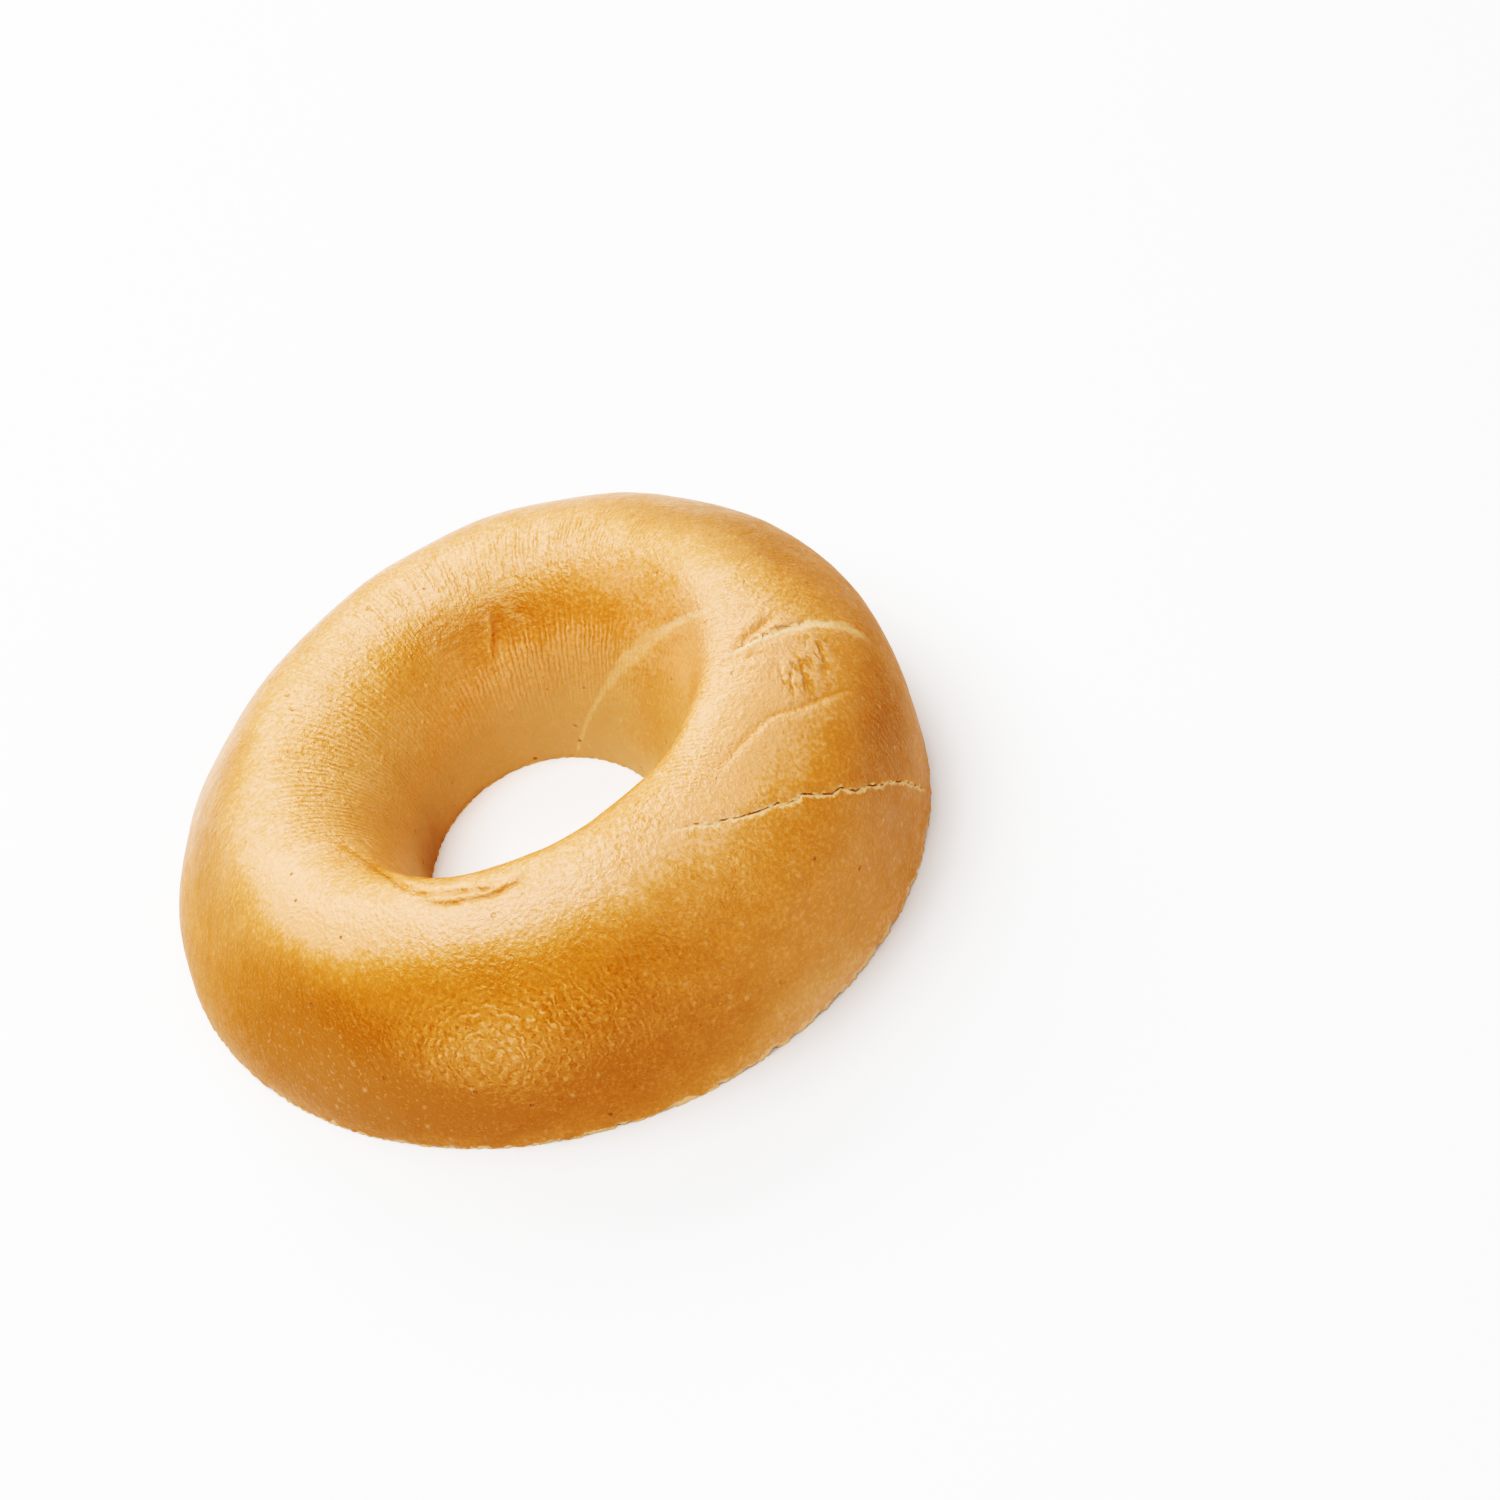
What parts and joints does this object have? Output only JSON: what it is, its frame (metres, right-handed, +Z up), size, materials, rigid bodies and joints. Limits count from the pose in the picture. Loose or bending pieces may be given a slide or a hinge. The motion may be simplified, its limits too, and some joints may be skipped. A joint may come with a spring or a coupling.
{
  "type": "bagel half",
  "caption": "Crusty upper half of a sliced plain bagel, a smooth browned ring of bread with an open hole, a seam and a crack, lying on its flat cut face.",
  "frame": {"origin": "middle of the outline of the cut face, which lies in the plane z = 0", "axes": "+Z up from the cut face through the crown; the bread is highest between +X and -Y"},
  "size_m": [0.1014, 0.1066, 0.0345],
  "materials": {
    "crust": "satin golden brown bread crust, stands in for bread",
    "crumb": "matte, porous, lightly toasted bread crumb"
  },
  "bodies": {
    "root": {"bagel_half": "crust"}
  },
  "joints": []
}
